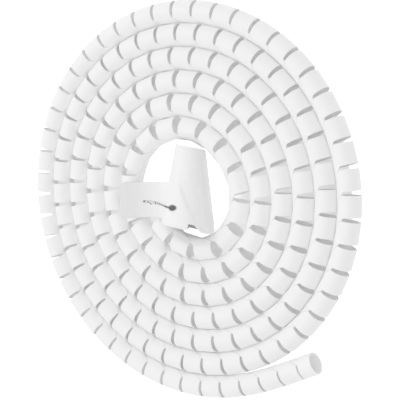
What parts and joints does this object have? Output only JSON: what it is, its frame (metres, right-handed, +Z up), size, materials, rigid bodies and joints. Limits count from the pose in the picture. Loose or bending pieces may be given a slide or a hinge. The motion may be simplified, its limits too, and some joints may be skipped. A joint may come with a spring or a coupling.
{
  "type": "spiral cable wrap",
  "caption": "Flat coil of slotted plastic spiral cable wrap with a short free tail, and a tapered loading tool with a finger tab lying in its eye.",
  "frame": {"origin": "middle of the coil's box, on the floor that it lies on", "axes": "+Z up through the coil's eye, +Y along the tool from its wide mouth to its narrow mouth, +X towards the side where the tail ends"},
  "size_m": [0.4268, 0.4396, 0.0605],
  "materials": {
    "wrap_plastic": "white satin polyethylene",
    "tool_plastic": "white moulded polypropylene"
  },
  "bodies": {
    "root": {"spiral_wrap": "wrap_plastic", "applicator_tool": "tool_plastic"}
  },
  "joints": []
}
